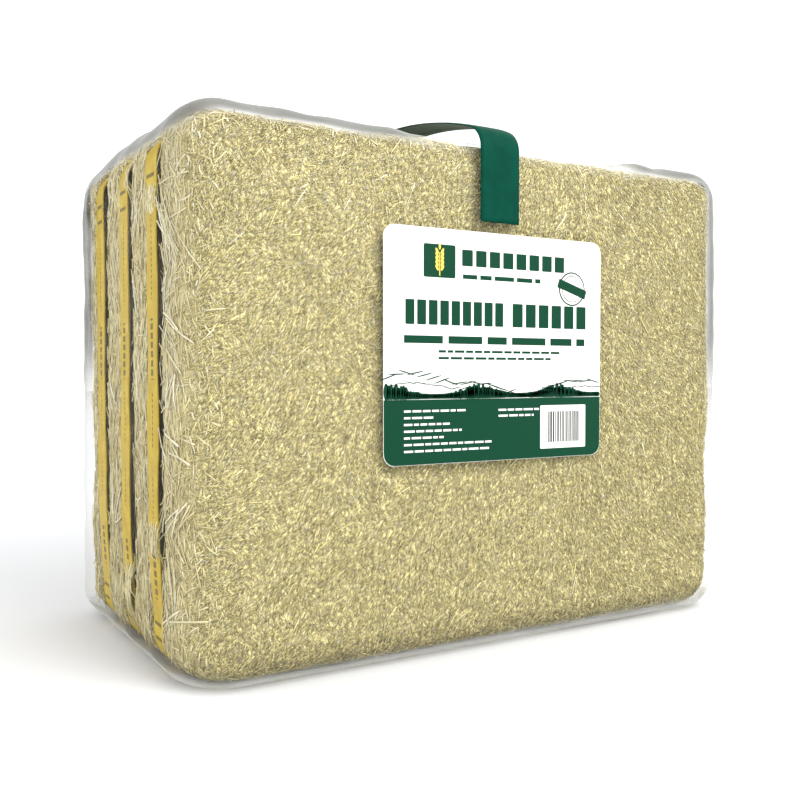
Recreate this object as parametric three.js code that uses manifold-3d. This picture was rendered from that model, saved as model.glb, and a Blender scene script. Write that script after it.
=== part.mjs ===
// A pressed straw block tied by three flat straps, in a clear film bag with a carry strap and a
// label. Millimetres, +Z up, +X along the long front face, +Y from the front face to the back.
// The origin is the middle of the flat base.
import * as THREE from 'three';
import { mergeVertices } from 'three/addons/utils/BufferGeometryUtils.js';
import Module from 'manifold-3d';

const wasm = await Module();
wasm.setup();

// The film bag: its outer size, the radius of its upright edges and of its top and bottom edges.
const BAG = { x: 572, y: 340, z: 441, upright: 40, edge: 15 };
const BAG_STEPS = { x: 8, y: 4, z: 7 };
const FILM_WALL = 0.5;
const FILM_WAVE = 1.2;

// A small vent high in the bag's back face lets trapped air out.
const VENT = { radius: 3, besideCentre: 60, z: 353 };

// The loop that a strap pulls tight round the block, which is also the floor of its groove.
const LOOP = { halfX: 273, bottom: 3.2, top: 427, edge: 22 };
const BLOCK_HALF_Y = 159;
const BLOCK_UPRIGHT = 46;
const BLOCK_STEPS = { x: 10, z: 8 };

// How far the straw swells past the loop: anywhere beside a strap, and under the block.
const BULGE = 4.5;
const BASE_BULGE = 2.4;
const LUMP = 0.9;

const STRAP = { width: 26, thickness: 1, pitch: 82, lap: 48 };
const GROOVE_HALF = 15;
const GROOVE_RAMP = 8;
const CLEARANCE = 0.3;

// What is stuck to the bag's front face shares one centre line, a little left of the middle.
const CENTRE_X = -8.3;
const HANDLE = { width: 40, thickness: 0.8, apex: 473.5, sweep: 480, bend: 24, tail: 364 };
const LABEL = { width: 228, height: 192, bottom: 163, corner: 10, thickness: 0.4 };

const STRAP_NAMES = ['strap_front', 'strap_middle', 'strap_back'];
const strapY = (index) => (index - 1) * STRAP.pitch;

const COLOURS = {
  straw: { color: 0xcbbf8e, roughness: 0.85 },
  strap: { color: 0xd9c463, roughness: 0.4 },
  film: { color: 0xc9cac4, roughness: 0.2 },
  handle: { color: 0x195c4e, roughness: 0.5 },
  label: { color: 0xf7f6f0, roughness: 0.45 },
};

function material(name) {
  return new THREE.MeshStandardMaterial({ metalness: 0, ...COLOURS[name] });
}

function named(name, geometry, finish) {
  const mesh = new THREE.Mesh(geometry, material(finish));
  mesh.name = name;
  return mesh;
}

// Position only, with shared corners merged, as a closed body needs.
function welded(geometry) {
  const bare = geometry.clone();
  for (const name of Object.keys(bare.attributes)) {
    if (name !== 'position') bare.deleteAttribute(name);
  }
  return mergeVertices(bare, 1e-4);
}

function toSolid(geometry) {
  const closed = welded(geometry);
  return new wasm.Manifold(new wasm.Mesh({
    numProp: 3,
    vertProperties: new Float32Array(closed.attributes.position.array),
    triVerts: new Uint32Array(closed.index.array),
  }));
}

function toGeometry(solid) {
  const mesh = solid.getMesh();
  const geometry = new THREE.BufferGeometry();
  geometry.setAttribute('position', new THREE.BufferAttribute(mesh.vertProperties, 3));
  geometry.setIndex(new THREE.BufferAttribute(mesh.triVerts, 1));
  return geometry;
}

const smooth = THREE.MathUtils.smoothstep;

// How far in from a face the grid lines lie that carry a rounded edge, or an upright corner too.
const edgeInsets = (edge) => [0, edge * 0.59, edge];
const cornerInsets = (edge, upright) => [...edgeInsets(edge), upright * 0.59, upright];

// Grid lines from -half to half: the insets at both ends and even steps between them.
function stations(half, insets, steps) {
  const rounded = insets.slice(0, -1);
  const flat = half - insets[insets.length - 1];
  const lines = rounded.map((inset) => inset - half);
  for (let i = 0; i <= steps; i += 1) lines.push(-flat + (2 * flat * i) / steps);
  lines.push(...rounded.reverse().map((inset) => half - inset));
  return lines;
}

// A box surface whose grid lines are the given ones along each axis.
function gridBox(xs, ys, zs) {
  const lines = [xs, ys, zs];
  const box = welded(new THREE.BoxGeometry(1, 1, 1, xs.length - 1, ys.length - 1, zs.length - 1));
  const at = box.attributes.position;
  for (let i = 0; i < at.count; i += 1) {
    lines.forEach((line, axis) => {
      const step = Math.round((at.getComponent(i, axis) + 0.5) * (line.length - 1));
      at.setComponent(i, axis, line[step]);
    });
  }
  return box;
}

// Rounds the top and bottom edges of a box grid by one radius, its upright edges by a larger one.
function roundBox(box, half, edge, upright) {
  const at = box.attributes.position;
  const past = (value, limit) => Math.max(0, Math.abs(value) - limit);
  for (let i = 0; i < at.count; i += 1) {
    let x = at.getX(i);
    let y = at.getY(i);
    let z = at.getZ(i);
    const out = Math.max(past(x, half.x - edge), past(y, half.y - edge));
    const up = past(z, half.z - edge);
    if (out > 0 && up > 0) {
      const pull = 1 - edge / Math.hypot(out, up);
      x -= Math.sign(x) * past(x, half.x - edge) * pull;
      y -= Math.sign(y) * past(y, half.y - edge) * pull;
      z -= Math.sign(z) * up * pull;
    }
    const cornerX = past(x, half.x - upright);
    const cornerY = past(y, half.y - upright);
    if (cornerX > 0 && cornerY > 0) {
      const pull = 1 - Math.max(cornerX, cornerY) / Math.hypot(cornerX, cornerY);
      x -= Math.sign(x) * cornerX * pull;
      y -= Math.sign(y) * cornerY * pull;
    }
    at.setXYZ(i, x, y, z);
  }
  box.computeVertexNormals();
}

// Moves every point along its normal by what the function says for it.
function displace(geometry, amount) {
  const at = geometry.attributes.position;
  const normals = geometry.attributes.normal;
  const point = new THREE.Vector3();
  const normal = new THREE.Vector3();
  for (let i = 0; i < at.count; i += 1) {
    point.fromBufferAttribute(at, i);
    normal.fromBufferAttribute(normals, i);
    point.addScaledVector(normal, amount(point, normal));
    at.setXYZ(i, point.x, point.y, point.z);
  }
}

// 0 in a strap's groove, 1 clear of it.
function besideStraps(y) {
  let open = 1;
  for (let i = 0; i < STRAP_NAMES.length; i += 1) {
    const away = Math.abs(y - strapY(i));
    open = Math.min(open, smooth(away, GROOVE_HALF, GROOVE_HALF + GROOVE_RAMP));
  }
  return open;
}

function strawBlock() {
  const halfZ = (LOOP.top - LOOP.bottom) / 2;
  const half = new THREE.Vector3(LOOP.halfX, BLOCK_HALF_Y, halfZ);
  const grooveEdges = STRAP_NAMES.flatMap((name, index) => (
    [-GROOVE_HALF - GROOVE_RAMP, -GROOVE_HALF, GROOVE_HALF, GROOVE_HALF + GROOVE_RAMP]
      .map((offset) => strapY(index) + offset)
  ));
  const corner = cornerInsets(LOOP.edge, BLOCK_UPRIGHT);
  const outer = stations(half.y, corner, 1);
  const middle = outer.length / 2;
  const block = gridBox(
    stations(half.x, corner, BLOCK_STEPS.x),
    [...outer.slice(0, middle), ...grooveEdges, ...outer.slice(middle)],
    stations(half.z, edgeInsets(LOOP.edge), BLOCK_STEPS.z),
  );
  roundBox(block, half, LOOP.edge, BLOCK_UPRIGHT);
  displace(block, (p, n) => {
    const down = smooth(-n.z, 0.1, 0.9);
    const bulge = THREE.MathUtils.lerp(BULGE, BASE_BULGE, down);
    const lumps = Math.sin(p.x / 41 + p.z / 53) * Math.cos(p.y / 37 - p.z / 61 + p.x / 90);
    return besideStraps(p.y) * (bulge + LUMP * lumps * (1 - down));
  });
  block.translate(0, 0, (LOOP.top + LOOP.bottom) / 2);
  return named('straw_block', block, 'straw');
}

// A rounded rectangle in the strap's plane, grown outward from the loop by a distance.
function loopOutline(grow, target) {
  const x = LOOP.halfX + grow;
  const low = LOOP.bottom - grow;
  const high = LOOP.top + grow;
  const r = LOOP.edge + grow;
  target.moveTo(-x + r, low);
  target.lineTo(x - r, low);
  target.absarc(x - r, low + r, r, -Math.PI / 2, 0, false);
  target.lineTo(x, high - r);
  target.absarc(x - r, high - r, r, 0, Math.PI / 2, false);
  return { x, high, r, low };
}

function strap(index) {
  const band = new THREE.Shape();
  const outer = loopOutline(CLEARANCE + STRAP.thickness, band);
  const lapTop = outer.high + STRAP.thickness;
  band.lineTo(STRAP.lap / 2, outer.high);
  band.lineTo(STRAP.lap / 2, lapTop);
  band.lineTo(-STRAP.lap / 2, lapTop);
  band.lineTo(-STRAP.lap / 2, outer.high);
  band.lineTo(-outer.x + outer.r, outer.high);
  band.absarc(-outer.x + outer.r, outer.high - outer.r, outer.r, Math.PI / 2, Math.PI, false);
  band.lineTo(-outer.x, outer.low + outer.r);
  band.absarc(-outer.x + outer.r, outer.low + outer.r, outer.r, Math.PI, 1.5 * Math.PI, false);
  const hole = new THREE.Path();
  const inner = loopOutline(CLEARANCE, hole);
  hole.lineTo(-inner.x + inner.r, inner.high);
  hole.absarc(-inner.x + inner.r, inner.high - inner.r, inner.r, Math.PI / 2, Math.PI, false);
  hole.lineTo(-inner.x, inner.low + inner.r);
  hole.absarc(-inner.x + inner.r, inner.low + inner.r, inner.r, Math.PI, 1.5 * Math.PI, false);
  band.holes.push(hole);
  const solid = new THREE.ExtrudeGeometry(band, {
    depth: STRAP.width,
    bevelEnabled: false,
    curveSegments: 7,
  });
  // The outline is drawn in X and Y: turned upright, its width runs along Y.
  solid.rotateX(Math.PI / 2);
  solid.translate(0, strapY(index) + STRAP.width / 2, 0);
  return named(STRAP_NAMES[index], welded(solid), 'strap');
}

// The film's outer or inner surface: inset 0 is the outside. Its front face, where the label and
// the carry strap are, its back face and its base stay flat.
function bagSurface(inset) {
  const half = new THREE.Vector3(BAG.x / 2, BAG.y / 2, BAG.z / 2);
  const corner = cornerInsets(BAG.edge, BAG.upright);
  const surface = gridBox(
    stations(half.x, corner, BAG_STEPS.x),
    stations(half.y, corner, BAG_STEPS.y),
    stations(half.z, edgeInsets(BAG.edge), BAG_STEPS.z),
  );
  roundBox(surface, half, BAG.edge, BAG.upright);
  displace(surface, (p, n) => {
    const flat = Math.max(smooth(Math.abs(n.y), 0.9, 0.98), smooth(-n.z, 0.4, 0.9));
    const endOrTop = Math.max(Math.abs(n.x), Math.abs(n.z));
    const wave = 0.5 - 0.5 * Math.cos(p.y / 27 + p.z / 70) * Math.cos(p.x / 44);
    return -FILM_WAVE * wave * (1 - flat) * (1 - smooth(endOrTop, 0.97, 0.999)) - inset;
  });
  surface.translate(0, 0, half.z);
  return surface;
}

function filmBag() {
  const punch = 8;
  const vent = new THREE.CylinderGeometry(VENT.radius, VENT.radius, punch, 12);
  vent.translate(CENTRE_X + VENT.besideCentre, BAG.y / 2, VENT.z);
  const shell = toSolid(bagSurface(0))
    .subtract(toSolid(bagSurface(FILM_WALL)))
    .subtract(toSolid(vent));
  return named('film_bag', toGeometry(shell), 'film');
}

// Half of the carry strap's centre line, from the front tail to the top of its arch: up the face,
// round a short bend, then along a shallow arc that clears the bag by a hand's breadth.
function handleLine(faceY) {
  const arcCentre = HANDLE.apex - HANDLE.sweep;
  const bendY = faceY + HANDLE.bend;
  const reach = HANDLE.sweep - HANDLE.bend;
  const bendZ = arcCentre + Math.sqrt(reach * reach - bendY * bendY);
  const leave = Math.atan2(bendZ - arcCentre, bendY);
  const line = [new THREE.Vector2(faceY, HANDLE.tail)];
  const turns = 6;
  for (let i = 0; i <= turns; i += 1) {
    const angle = Math.PI + ((leave - Math.PI) * i) / turns;
    const x = bendY + HANDLE.bend * Math.cos(angle);
    line.push(new THREE.Vector2(x, bendZ + HANDLE.bend * Math.sin(angle)));
  }
  const steps = 8;
  for (let i = 1; i <= steps; i += 1) {
    const angle = leave + ((Math.PI / 2 - leave) * i) / steps;
    const x = HANDLE.sweep * Math.cos(angle);
    line.push(new THREE.Vector2(x, arcCentre + HANDLE.sweep * Math.sin(angle)));
  }
  return line;
}

function carryHandle() {
  const outer = handleLine(-BAG.y / 2 - CLEARANCE - HANDLE.thickness);
  const mirrored = outer.slice(0, -1).reverse().map((p) => new THREE.Vector2(-p.x, p.y));
  const top = [...outer, ...mirrored];
  // Each point's twin on the inner face lies one thickness in, square to the line.
  const inner = top.map((p, i) => {
    const before = top[Math.max(0, i - 1)];
    const after = top[Math.min(top.length - 1, i + 1)];
    const along = after.clone().sub(before).normalize();
    return new THREE.Vector2(p.x + along.y * HANDLE.thickness, p.y - along.x * HANDLE.thickness);
  });
  const outline = new THREE.Shape([...top, ...inner.reverse()]);
  const solid = new THREE.ExtrudeGeometry(outline, { depth: HANDLE.width, bevelEnabled: false });
  // Drawn across and up, extruded forward: turned so that it runs front to back.
  solid.rotateX(Math.PI / 2);
  solid.rotateZ(Math.PI / 2);
  solid.translate(CENTRE_X - HANDLE.width / 2, 0, 0);
  return named('carry_handle', welded(solid), 'handle');
}

function label() {
  const { width, height, corner, thickness } = LABEL;
  const x = width / 2 - corner;
  const y = height / 2 - corner;
  const sheet = new THREE.Shape();
  sheet.absarc(x, y, corner, 0, Math.PI / 2, false);
  sheet.absarc(-x, y, corner, Math.PI / 2, Math.PI, false);
  sheet.absarc(-x, -y, corner, Math.PI, 1.5 * Math.PI, false);
  sheet.absarc(x, -y, corner, 1.5 * Math.PI, 2 * Math.PI, false);
  const solid = new THREE.ExtrudeGeometry(sheet, {
    depth: thickness,
    bevelEnabled: false,
    curveSegments: 6,
  });
  solid.rotateX(Math.PI / 2);
  solid.translate(CENTRE_X, -BAG.y / 2 - CLEARANCE, LABEL.bottom + height / 2);
  return named('label', welded(solid), 'label');
}

const bale = new THREE.Group();
bale.add(strawBlock());
STRAP_NAMES.forEach((name, index) => bale.add(strap(index)));
bale.add(filmBag(), carryHandle(), label());

export default bale;
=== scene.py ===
"""A pressed straw bale in a clear film bag, with its straps, carry strap and label."""
import math

import bmesh
import bpy
import numpy as np
from mathutils import Matrix, Vector


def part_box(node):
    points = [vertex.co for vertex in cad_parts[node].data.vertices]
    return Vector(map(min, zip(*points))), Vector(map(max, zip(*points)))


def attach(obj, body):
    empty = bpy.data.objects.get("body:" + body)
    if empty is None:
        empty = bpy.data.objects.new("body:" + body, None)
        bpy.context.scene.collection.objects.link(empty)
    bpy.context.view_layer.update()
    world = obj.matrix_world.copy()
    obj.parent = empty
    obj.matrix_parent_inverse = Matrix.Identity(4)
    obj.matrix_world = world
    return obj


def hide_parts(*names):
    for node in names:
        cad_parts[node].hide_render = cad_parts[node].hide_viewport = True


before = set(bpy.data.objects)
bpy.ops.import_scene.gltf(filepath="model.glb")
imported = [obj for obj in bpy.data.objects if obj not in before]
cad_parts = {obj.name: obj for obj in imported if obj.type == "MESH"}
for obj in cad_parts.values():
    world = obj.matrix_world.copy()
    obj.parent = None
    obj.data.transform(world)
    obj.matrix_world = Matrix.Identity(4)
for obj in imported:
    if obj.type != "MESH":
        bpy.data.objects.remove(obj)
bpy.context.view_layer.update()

MM = 0.001

# ------------------------------------------------------------------------------------------
# The straw block. Wheat straw is chopped and pressed hard, so the block is a springy solid with
# soft edges. The straps bite into its ends, top and base, and the straw swells between them.

block_low, block_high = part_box("straw_block")
STRAP_NAMES = ("strap_front", "strap_middle", "strap_back")
strap_boxes = [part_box(name) for name in STRAP_NAMES]
STRAP_Y = [(low.y + high.y) / 2 for low, high in strap_boxes]

BED_BELOW_FACE = 1.2 * MM
BED_CUTS = 95
TOP_EDGE_RADIUS = 24 * MM
BASE_EDGE_RADIUS = 33 * MM
LEFT_UPRIGHT_RADIUS = 48 * MM
RIGHT_UPRIGHT_RADIUS = 38 * MM
GROOVE_DEPTH = 5 * MM
GROOVE_FRONT_SIDE = 16.5 * MM
GROOVE_BACK_SIDE = 13.5 * MM
GROOVE_RAMP = 6 * MM
GROOVE_AT_TOP_BEND = 1.7


def linear(hex_colour):
    """An sRGB hex colour as linear RGBA."""
    parts = [int(hex_colour[i:i + 2], 16) / 255 for i in (1, 3, 5)]
    return [v / 12.92 if v <= 0.04045 else ((v + 0.055) / 1.055) ** 2.4 for v in parts] + [1.0]


def smoothstep(value, start, end):
    t = np.clip((value - start) / (end - start), 0, 1)
    return t * t * (3 - 2 * t)


def unevenness(points, wavelength, seed):
    """Smooth random heights from -1 to 1 whose bumps are about a wavelength apart."""
    draw = np.random.default_rng(seed)
    total = np.zeros(len(points))
    waves = 9
    for _ in range(waves):
        direction = draw.normal(size=3)
        direction /= np.linalg.norm(direction)
        length = wavelength * draw.uniform(0.7, 1.6)
        total += np.sin(points @ direction * (2 * math.pi / length) + draw.uniform(0, 2 * math.pi))
    return np.clip(total / math.sqrt(waves * 2), -1, 1)


def rounded(points, half, top_edge, base_edge, upright):
    """Rounds the top edges, base edges and upright corners of a box surface, each by its radius."""
    p = points.copy()
    sign = np.sign(p)
    edge = np.where(p[:, 2] > 0, top_edge, base_edge)
    past = np.maximum(np.abs(p) - (half - edge[:, None]), 0)
    out = past[:, :2].max(1)
    reach = np.hypot(out, past[:, 2])
    pull = np.where((out > 0) & (past[:, 2] > 0), 1 - edge / np.maximum(reach, 1e-9), 0)
    p -= sign * past * pull[:, None]
    corner = np.maximum(np.abs(p[:, :2]) - (half[:2] - upright), 0)
    spread = np.hypot(corner[:, 0], corner[:, 1])
    pull = np.where(corner.min(1) > 0, 1 - corner.max(1) / np.maximum(spread, 1e-9), 0)
    p[:, :2] -= sign[:, :2] * corner * pull[:, None]
    return p


def upright_radius(x):
    """The radius of the block's upright corners, which are squarer at its right end."""
    return np.where(x > 0, RIGHT_UPRIGHT_RADIUS, LEFT_UPRIGHT_RADIUS)


def box_mesh(cuts):
    """A box surface, one unit each way, with an even grid on each face."""
    bm = bmesh.new()
    bmesh.ops.create_cube(bm, size=1)
    bmesh.ops.subdivide_edges(bm, edges=bm.edges[:], cuts=cuts, use_grid_fill=True)
    return bm


def positions(bm):
    return np.array([v.co for v in bm.verts])


def move(bm, points):
    for vertex, point in zip(bm.verts, points):
        vertex.co = point
    bm.normal_update()


def normals(bm):
    return np.array([v.normal for v in bm.verts])


def finished(bm, name, materials, slot, stands_for=None, smooth=True):
    """Turns a bmesh into a piece that rides on the bale and stands for a CAD node."""
    mesh = bpy.data.meshes.new(name)
    bm.to_mesh(mesh)
    bm.free()
    for material in materials:
        mesh.materials.append(material)
    mesh.polygons.foreach_set("use_smooth", [smooth] * len(mesh.polygons))
    piece = bpy.data.objects.new(name, mesh)
    bpy.context.scene.collection.objects.link(piece)
    if slot:
        if stands_for:
            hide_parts(stands_for)
        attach(piece, "root")
    return piece


def paint(piece, name, values):
    """Stores one number a vertex, for a material to read."""
    piece.data.attributes.new(name, "FLOAT", "POINT").data.foreach_set("value", values)


def add(tree, kind, settings=None, inputs=None):
    """Adds a node. Settings are its properties, and inputs are values or the sockets feeding them."""
    node = tree.nodes.new(kind)
    for key, value in (settings or {}).items():
        if key == "stops":
            ramp = node.color_ramp.elements
            while len(ramp) < len(value):
                ramp.new(0.5)
            for element, (place, colour) in zip(ramp, value):
                element.position = place
                element.color = linear(colour)
        else:
            setattr(node, key, value)
    for key, value in (inputs or {}).items():
        if isinstance(value, bpy.types.NodeSocket):
            tree.links.new(value, node.inputs[key])
        else:
            node.inputs[key].default_value = value
    return node


def new_material(name):
    """A material with only its output node, as (material, node tree)."""
    material = bpy.data.materials.new(name)
    material.use_nodes = True
    tree = material.node_tree
    tree.nodes.clear()
    return material, tree


def coat(tree, inputs):
    """Puts a Principled surface with those inputs on the material's output."""
    surface = add(tree, "ShaderNodeBsdfPrincipled", None, inputs)
    add(tree, "ShaderNodeOutputMaterial", None, {"Surface": surface.outputs[0]})


def beside_straps(points):
    """0 in a strap's groove and 1 clear of it. A groove is wider on the strap's front side."""
    clear = np.ones(len(points))
    for y in STRAP_Y:
        away = points[:, 1] - y
        edge = np.where(away < 0, GROOVE_FRONT_SIDE, GROOVE_BACK_SIDE)
        clear = np.minimum(clear, smoothstep(np.abs(away), edge, edge + GROOVE_RAMP))
    return clear


# Pressed wheat straw, seen down in the gaps between the loose straws: cut bits under 1 mm wide
# and 3 mm long that slant both ways on the long faces, and fine upright fibre on the ends.
# The cracks between the bits and the strap grooves are painted darker, as shade.
def pressed_straw_material():
    material, tree = new_material("pressed_wheat_straw")
    place = add(tree, "ShaderNodeTexCoord").outputs["Object"]
    tones = [(0.0, "#857C5C"), (0.3, "#B9AD7C"), (0.65, "#EADE9F"), (1.0, "#FCF2C0")]

    def bits(turn):
        turned = add(tree, "ShaderNodeMapping", {"vector_type": "TEXTURE"},
                     {"Vector": place, "Rotation": (0, turn, 0),
                      "Scale": (0.75 * MM, 1.8 * MM, 2.9 * MM)})
        return add(tree, "ShaderNodeTexVoronoi", None,
                   {"Vector": turned.outputs[0], "Scale": 1.0, "Randomness": 1.0})

    left, right = bits(0.6), bits(-0.6)
    patch = add(tree, "ShaderNodeTexNoise", None, {"Vector": place, "Scale": 1 / (22 * MM)})
    choose = add(tree, "ShaderNodeMapRange", None,
                 {"Value": patch.outputs["Fac"], "From Min": 0.46, "From Max": 0.54})
    cell = add(tree, "ShaderNodeMix", {"data_type": "RGBA"},
               {0: choose.outputs[0], 6: left.outputs["Color"], 7: right.outputs["Color"]})
    gap = add(tree, "ShaderNodeMix", {"data_type": "FLOAT"},
              {0: choose.outputs[0], 2: left.outputs["Distance"], 3: right.outputs["Distance"]})
    tone = add(tree, "ShaderNodeSeparateColor", None, {"Color": cell.outputs[2]})
    # The bits darken towards their cell edges: painted shade in the cracks between them.
    crack_shaded_tone = add(tree, "ShaderNodeMath", {"operation": "MULTIPLY_ADD"},
               {0: gap.outputs[0], 1: -0.7, 2: tone.outputs[0]})
    chopped = add(tree, "ShaderNodeValToRGB", {"stops": tones}, {"Fac": crack_shaded_tone.outputs[0]})
    combed = add(tree, "ShaderNodeMapping", None,
                 {"Vector": place, "Scale": (1 / (1.6 * MM), 1 / (1.6 * MM), 1 / (20 * MM))})
    fibre = add(tree, "ShaderNodeTexNoise", None,
                {"Vector": combed.outputs[0], "Scale": 1.0, "Detail": 2.0, "Distortion": 0.6})
    combed_tone = add(tree, "ShaderNodeValToRGB", {"stops": [
        (0.3, "#9A9068"), (0.5, "#C6BA8A"), (0.7, "#DFD5A9")]}, {"Fac": fibre.outputs["Fac"]})
    cut_face = add(tree, "ShaderNodeAttribute", {"attribute_name": "cut_face"})
    dry = add(tree, "ShaderNodeMix", {"data_type": "RGBA"},
              {0: cut_face.outputs["Fac"], 6: combed_tone.outputs["Color"],
               7: chopped.outputs["Color"]})
    # Painted shade: the bed in a strap's groove is mixed towards dark brown, for the shade beside the
    # strap.
    groove = add(tree, "ShaderNodeAttribute", {"attribute_name": "groove"})
    colour = add(tree, "ShaderNodeMix", {"data_type": "RGBA"},
                 {0: groove.outputs["Fac"], 6: dry.outputs[2], 7: linear("#5E573D")})
    bump = add(tree, "ShaderNodeBump", None,
               {"Strength": 0.5, "Distance": 0.5 * MM, "Height": tone.outputs[0]})
    coat(tree, {"Base Color": colour.outputs[2], "Roughness": 0.75,
                "Specular IOR Level": 0.25, "Normal": bump.outputs["Normal"]})
    return material


def pressed_block():
    half = np.array(block_high - block_low) / 2 - BED_BELOW_FACE
    middle = np.array(block_high + block_low) / 2
    bm = box_mesh(BED_CUTS)
    flat = positions(bm) * half * 2
    shape = rounded(flat, half, TOP_EDGE_RADIUS, BASE_EDGE_RADIUS, upright_radius(flat[:, :1]))
    move(bm, shape)
    outward = normals(bm)
    down = smoothstep(-outward[:, 2], 0.5, 0.95)
    long_side = smoothstep(np.abs(outward[:, 1]), 0.75, 0.95)
    groove = (1 - beside_straps(shape)) * GROOVE_DEPTH * (1 - long_side)
    bend = smoothstep(outward[:, 2], 0.1, 0.4) * smoothstep(np.abs(outward[:, 0]), 0.1, 0.4)
    groove *= 1 + (GROOVE_AT_TOP_BEND - 1) * bend
    lumps = unevenness(shape, 90 * MM, 11) * 1.6 * MM + unevenness(shape, 14 * MM, 12) * 0.6 * MM
    height = lumps * (1 - down) - groove * (1 - 0.7 * down)
    move(bm, shape + outward * height[:, None] + middle)
    piece = finished(bm, "pressed_straw", [pressed_straw_material()], "straw", "straw_block")
    paint(piece, "cut_face", smoothstep(np.abs(outward[:, 1]), 0.35, 0.8))
    # groove marks the strap grooves, which the material paints dark as shade.
    paint(piece, "groove", (1 - beside_straps(shape)) * (1 - long_side) * 0.85)
    return piece


block = pressed_block()

# ------------------------------------------------------------------------------------------
# The straws at the block's surface. The long faces show the chop, short flattened bits that
# slant one way or the other. The ends and top show longer stem and leaf, combed along the
# straps, with pale stems that stand up at the corners and cross over the straps.


# Dry wheat straw: the waxy skin has a faint shine, and each straw has aged to its own tone.
# lay paints that tone darker, as shade, on straws that face down or lie low, and lighter, as light, on
# straws high up.
def straw_material(name, stops):
    material, tree = new_material(name)
    tone = add(tree, "ShaderNodeAttribute", {"attribute_name": "tone"})
    colour = add(tree, "ShaderNodeValToRGB", {"stops": stops}, {"Fac": tone.outputs["Fac"]})
    place = add(tree, "ShaderNodeTexCoord").outputs["Object"]
    mottle = add(tree, "ShaderNodeTexNoise", None, {"Vector": place, "Scale": 1 / (4 * MM)})
    shade = add(tree, "ShaderNodeMapRange", None,
                {"Value": mottle.outputs["Fac"], "To Min": 0.85, "To Max": 1.12})
    mixed = add(tree, "ShaderNodeMix", {"data_type": "RGBA", "blend_type": "MULTIPLY"},
                {0: 1.0, 6: colour.outputs["Color"], 7: shade.outputs[0]})
    coat(tree, {"Base Color": mixed.outputs[2], "Roughness": 0.5, "Specular IOR Level": 0.35})
    return material


chopped_straw = straw_material("chopped_wheat_straw", [
    (0.0, "#A0956F"), (0.25, "#D6C98D"), (0.5, "#F2E5A0"), (0.75, "#FCF1B2"), (1.0, "#FFFCE6")])
long_straw = straw_material("long_wheat_straw", [
    (0.0, "#A89D74"), (0.3, "#CCC08F"), (0.6, "#DED2A2"), (0.85, "#E8DEB6"), (1.0, "#EFE8CC")])
pale_stem = straw_material("pale_wheat_stem", [
    (0.0, "#C4B888"), (0.5, "#DCD3AC"), (1.0, "#F3EED6")])


def bit_shape():
    """A chopped bit: a flat sliver cut on the slant, with a ridge along it."""
    bm = bmesh.new()
    for corner in ((0, -0.5, 0.5), (0, 0.5, 0.5), (-0.5, -0.2, -0.5), (0.5, 0.2, -0.5)):
        bm.verts.new(corner)
    bmesh.ops.convex_hull(bm, input=bm.verts[:])
    bmesh.ops.recalc_face_normals(bm, faces=bm.faces[:])
    return bm


def stem_shape(bends):
    """A length of stem: three sided, straight until it is bent."""
    bm = bmesh.new()
    bmesh.ops.create_cone(bm, cap_ends=True, segments=3, radius1=0.577, radius2=0.577, depth=1)
    bmesh.ops.rotate(bm, verts=bm.verts[:], matrix=Matrix.Rotation(math.pi / 2, 3, "X"))
    along = [e for e in bm.edges if abs(e.verts[0].co.y - e.verts[1].co.y) > 0.5]
    if bends:
        bmesh.ops.subdivide_edges(bm, edges=along, cuts=bends, use_grid_fill=True)
    bmesh.ops.triangulate(bm, faces=bm.faces[:])
    return bm


PRESSED_PROUD = np.array((4.2, 3.4, 2.4)) * MM
OFF_FLOOR = 0.6 * MM
STRAP_CLEAR = (strap_boxes[0][1].y - strap_boxes[0][0].y) / 2 + 1 * MM
STRAP_CLEAR_FRONT = STRAP_CLEAR + 2 * MM
block_middle = np.array(block_high + block_low) / 2
bag_limit = np.array(block_high - block_low) / 2 - BED_BELOW_FACE + PRESSED_PROUD


def pressed_in(points):
    """Points moved back to where the bag holds them, on the block's rounded outline."""
    p = points - block_middle
    sign, p = np.sign(p), np.abs(p)
    edge = np.where(sign[:, 2] > 0, TOP_EDGE_RADIUS, BASE_EDGE_RADIUS)
    past = p[:, :2] - bag_limit[:2]
    upright = upright_radius(sign[:, 0])
    corner = past + upright[:, None]
    round_ = corner.min(1) > 0
    spread = np.hypot(corner[:, 0], corner[:, 1])
    way = np.where(round_[:, None], corner / np.maximum(spread, 1e-9)[:, None],
                   np.eye(2)[past.argmax(1)])
    outside = np.where(round_, spread - upright, past.max(1))
    out, up = np.maximum(outside + edge, 0), np.maximum(p[:, 2] - bag_limit[2] + edge, 0)
    pull = 1 - np.minimum(edge / np.maximum(np.hypot(out, up), 1e-9), 1)
    p[:, :2] -= way * (out * pull)[:, None]
    p[:, 2] -= up * pull
    return p * sign + block_middle


def clear_of_straps(spots, out, turn, length):
    """Turns straws that would cross a strap until they lie beside it."""
    away = spots[:, 1:2] - np.array(STRAP_Y)
    gap = np.where(away < 0, -away - STRAP_CLEAR_FRONT, away - STRAP_CLEAR).min(1)
    most = np.arcsin(np.clip(2 * gap / length, 0.03, 1))
    strapped = np.abs(out[:, 1]) < 0.6
    turn = np.where(np.abs(turn) > math.pi / 2, 0.5 * turn, turn)
    return np.where(strapped, np.clip(turn, -most, most), turn)


surface = block.data
face_count = len(surface.polygons)
centres, outwards, areas = np.zeros(face_count * 3), np.zeros(face_count * 3), np.zeros(face_count)
surface.polygons.foreach_get("center", centres)
surface.polygons.foreach_get("normal", outwards)
surface.polygons.foreach_get("area", areas)
centres, outwards = centres.reshape(-1, 3), outwards.reshape(-1, 3)


def scatter(weight, count, draw):
    """Random spots on the block, with the way out of each, more of them where weight is larger."""
    chance = areas * weight
    pick = draw.choice(face_count, size=count, p=chance / chance.sum())
    jitter = draw.uniform(-0.5, 0.5, (count, 3)) * np.sqrt(areas[pick])[:, None] * 1.5
    out = outwards[pick]
    jitter -= out * (jitter * out).sum(1)[:, None]
    return centres[pick] + jitter, out


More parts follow.
